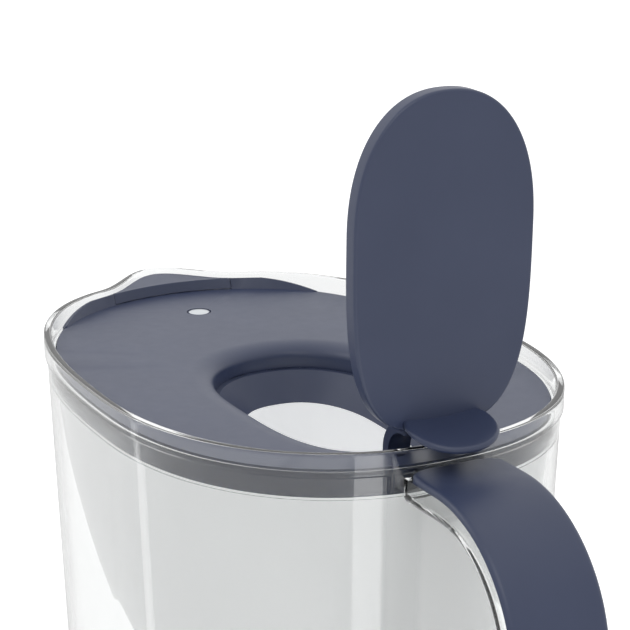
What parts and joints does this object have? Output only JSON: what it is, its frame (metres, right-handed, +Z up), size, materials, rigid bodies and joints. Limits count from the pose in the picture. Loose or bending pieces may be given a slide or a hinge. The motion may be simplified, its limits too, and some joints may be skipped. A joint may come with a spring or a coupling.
{
  "type": "water filter pitcher",
  "caption": "Clear oval jug with spout and side handle, lift-out funnel with filter cartridge, and a dark lid with a flip-up fill flap, pour flap and filter light.",
  "frame": {"origin": "on the table, under the middle of the body's length", "axes": "+Z up, +X towards the handle, -X towards the spout, Y across the symmetric width"},
  "size_m": [0.2686, 0.144, 0.375],
  "materials": {
    "clear_plastic": "clear, polished",
    "slate_plastic": "satin",
    "frosted_plastic": "milky, satin",
    "white_plastic": "satin",
    "filter_grains": "granular",
    "mesh_screen": "woven",
    "seal_rubber": "matte",
    "dark_plastic": "matte",
    "steel": "satin",
    "light_white": "translucent",
    "board_green": "satin"
  },
  "bodies": {
    "jug": {"jug_body": "clear_plastic", "handle_grip": "slate_plastic"},
    "funnel": {"funnel": "frosted_plastic"},
    "cartridge": {"cartridge_cup": "white_plastic", "cartridge_cap": "white_plastic", "cartridge_media": "filter_grains", "cartridge_screen": "mesh_screen", "cartridge_sieve": "mesh_screen", "cartridge_seal": "seal_rubber"},
    "lid": {"lid_panel": "slate_plastic", "fill_collar": "dark_plastic", "flap_pin": "steel", "light_gasket": "seal_rubber", "light_case": "white_plastic", "light_base": "white_plastic", "light_screws": "steel", "circuit_board": "board_green", "push_switch": "dark_plastic", "led_chip": "light_white", "coin_cell": "steel", "cell_clip": "steel"},
    "fill_flap": {"flap_cover": "slate_plastic", "flap_liner": "slate_plastic"},
    "pour_flap": {"pour_flap": "slate_plastic"},
    "light_button": {"light_button": "light_white"}
  },
  "joints": [
    {"name": "funnel_lift", "type": "slide", "parent": "jug", "child": "funnel", "axis": [0, 0, 1], "range_m": [0, 0.18]},
    {"name": "cartridge_lift", "type": "slide", "parent": "funnel", "child": "cartridge", "axis": [0, 0, 1], "range_m": [0, 0.035]},
    {"name": "lid_lift", "type": "slide", "parent": "funnel", "child": "lid", "axis": [0, 0, 1], "range_m": [0, 0.06]},
    {"name": "fill_flap_hinge", "type": "hinge", "parent": "lid", "child": "fill_flap", "pos_m": [0.08845, 0, 0.2664], "axis": [0, -1, 0], "range_deg": [0, 91]},
    {"name": "pour_flap_hinge", "type": "hinge", "parent": "lid", "child": "pour_flap", "pos_m": [-0.0895, 0, 0.2666], "axis": [0, 1, 0], "range_deg": [0, 45]},
    {"name": "light_button_press", "type": "slide", "parent": "lid", "child": "light_button", "axis": [0, 0, -1], "range_m": [0, 0.0006], "stiffness_N_per_m": 600}
  ]
}
